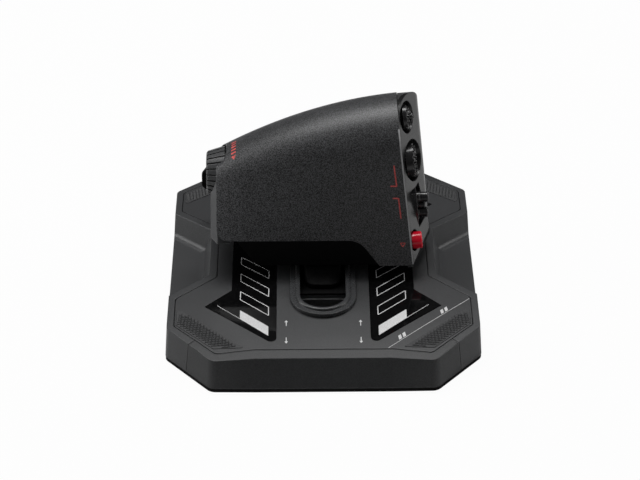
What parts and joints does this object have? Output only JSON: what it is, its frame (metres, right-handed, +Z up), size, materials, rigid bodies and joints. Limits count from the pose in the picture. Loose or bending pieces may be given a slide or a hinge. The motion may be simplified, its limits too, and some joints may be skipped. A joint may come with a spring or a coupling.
{
  "type": "throttle quadrant",
  "caption": "Desktop throttle quadrant: a broad hand grip with thumb and finger controls slides along a slot in a low eight-sided base.",
  "frame": {"origin": "on the desk, under the centre of the base octagon, at the underside of the rubber feet", "axes": "+X to the user's right, +Y away from the user along the slot (full thrust), +Z up"},
  "size_m": [0.224, 0.269, 0.152],
  "materials": {
    "frame_plastic": "fine matt",
    "fascia_plastic": "fine matt",
    "deck_plastic": "fine matt",
    "inlay_gloss": "polished",
    "pad_rubber": "matt with raised pips",
    "foot_rubber": "matt",
    "black_plastic": "matt",
    "palm_plastic": "fine matt",
    "shell_plastic": "fine matt",
    "thumb_plastic": "satin",
    "bezel_plastic": "satin",
    "control_plastic": "satin",
    "button_red": "gloss",
    "inner_plastic": "natural",
    "board_green": "solder mask",
    "steel": "ground",
    "zinc": "zinc plated",
    "bronze": "sintered",
    "carriage_metal": "as cast",
    "felt_pad": "felt"
  },
  "bodies": {
    "base": {"ballast_plates": "steel", "bottom_pan": "black_plastic", "case_screws": "zinc", "end_bumpers": "foot_rubber", "friction_pad": "felt_pad", "front_fascia": "fascia_plastic", "grip_patches_front": "pad_rubber", "grip_patches_rear": "pad_rubber", "guide_rods": "steel", "inlay_panel_left": "inlay_gloss", "inlay_panel_right": "inlay_gloss", "lead_socket": "zinc", "mount_inserts": "bronze", "position_board": "board_green", "rear_fascia": "fascia_plastic", "rod_mounts": "inner_plastic", "rubber_feet": "foot_rubber", "side_frame_left": "frame_plastic", "side_frame_right": "frame_plastic", "slot_bezel": "bezel_plastic", "top_deck": "deck_plastic"},
    "grip": {"carriage": "carriage_metal", "slide_bushes": "bronze", "magnet_carrier": "inner_plastic", "slide_plate": "black_plastic", "neck": "black_plastic", "lower_housing": "black_plastic", "grip_screws": "zinc", "grip_chassis": "inner_plastic", "grip_board": "board_green", "palm_shell": "palm_plastic", "front_shell": "shell_plastic", "thumb_panel": "thumb_plastic", "left_cap": "black_plastic", "dial_pot": "zinc", "upper_hat_base": "inner_plastic", "lower_hat_base": "inner_plastic", "rocker_frame": "inner_plastic", "rocker_pin": "steel", "red_button_guide": "inner_plastic", "button_switches": "board_green", "finger_button_guides": "inner_plastic", "stick_base": "inner_plastic", "paddle_bracket": "inner_plastic", "paddle_pin": "steel"},
    "tension": {"tension_screw": "zinc"},
    "dial": {"dial": "control_plastic", "dial_shaft": "steel"},
    "upper_hat_ring": {"upper_hat_ring": "inner_plastic"},
    "upper_hat": {"upper_hat": "control_plastic"},
    "lower_hat_ring": {"lower_hat_ring": "inner_plastic"},
    "lower_hat": {"lower_hat": "control_plastic"},
    "stick_ring": {"stick_ring": "inner_plastic"},
    "mini_stick": {"mini_stick": "control_plastic"},
    "thumb_rocker": {"thumb_rocker": "control_plastic"},
    "red_button": {"red_button": "button_red"},
    "finger_button_inner": {"finger_button_inner": "control_plastic"},
    "finger_button_outer": {"finger_button_outer": "control_plastic"},
    "finger_paddle": {"finger_paddle": "black_plastic"}
  },
  "joints": [
    {"name": "throttle_slide", "type": "slide", "parent": "base", "child": "grip", "axis": [0, 1, 0], "range_m": [-0.024, 0.056]},
    {"name": "tension_turn", "type": "hinge", "parent": "base", "child": "tension", "pos_m": [0, 0.022, 0.003], "axis": [0, 0, 1], "range_deg": [-180, 180]},
    {"name": "dial_turn", "type": "hinge", "parent": "grip", "child": "dial", "pos_m": [-0.076, 0.016, 0.0905], "axis": [1, 0, 0], "range_deg": [-150, 150]},
    {"name": "upper_hat_tilt", "type": "hinge", "parent": "grip", "child": "upper_hat_ring", "pos_m": [0.05018, 0.01157, 0.13654], "axis": [-0.0402, 0.9992, 0], "range_deg": [-8, 8], "stiffness_Nm_per_rad": 0.15},
    {"name": "upper_hat_swing", "type": "hinge", "parent": "upper_hat_ring", "child": "upper_hat", "pos_m": [0.05018, 0.01157, 0.13654], "axis": [-0.0899, -0.0036, 0.9959], "range_deg": [-8, 8], "stiffness_Nm_per_rad": 0.15},
    {"name": "lower_hat_tilt", "type": "hinge", "parent": "grip", "child": "lower_hat_ring", "pos_m": [0.05192, 0.00445, 0.10477], "axis": [-0.0402, 0.9992, 0], "range_deg": [-8, 8], "stiffness_Nm_per_rad": 0.15},
    {"name": "lower_hat_swing", "type": "hinge", "parent": "lower_hat_ring", "child": "lower_hat", "pos_m": [0.05192, 0.00445, 0.10477], "axis": [-0.0899, -0.0036, 0.9959], "range_deg": [-8, 8], "stiffness_Nm_per_rad": 0.15},
    {"name": "stick_tilt", "type": "hinge", "parent": "grip", "child": "stick_ring", "pos_m": [0.005, 0.03946, 0.09958], "axis": [-1, 0, 0], "range_deg": [-8, 8], "stiffness_Nm_per_rad": 0.15},
    {"name": "stick_swing", "type": "hinge", "parent": "stick_ring", "child": "mini_stick", "pos_m": [0.005, 0.03946, 0.09958], "axis": [0, 0.1444, 0.9895], "range_deg": [-8, 8], "stiffness_Nm_per_rad": 0.15},
    {"name": "rocker_tilt", "type": "hinge", "parent": "grip", "child": "thumb_rocker", "pos_m": [0.06626, -0.00316, 0.07315], "axis": [-0.0402, 0.9992, 0], "range_deg": [-8, 8], "stiffness_Nm_per_rad": 0.2},
    {"name": "red_button_press", "type": "slide", "parent": "grip", "child": "red_button", "axis": [0.9951, 0.04, 0.09], "range_m": [-0.002, 0], "stiffness_N_per_m": 500, "springref_m": 0.001},
    {"name": "finger_button_inner_press", "type": "slide", "parent": "grip", "child": "finger_button_inner", "axis": [0, 0.9912, -0.1323], "range_m": [-0.002, 0], "stiffness_N_per_m": 500, "springref_m": 0.001},
    {"name": "finger_button_outer_press", "type": "slide", "parent": "grip", "child": "finger_button_outer", "axis": [0, 0.9885, -0.1513], "range_m": [-0.002, 0], "stiffness_N_per_m": 500, "springref_m": 0.001},
    {"name": "paddle_rock", "type": "hinge", "parent": "grip", "child": "finger_paddle", "pos_m": [-0.04, 0.0445, 0.064], "axis": [0, 0, 1], "range_deg": [-6, 6], "stiffness_Nm_per_rad": 1}
  ]
}
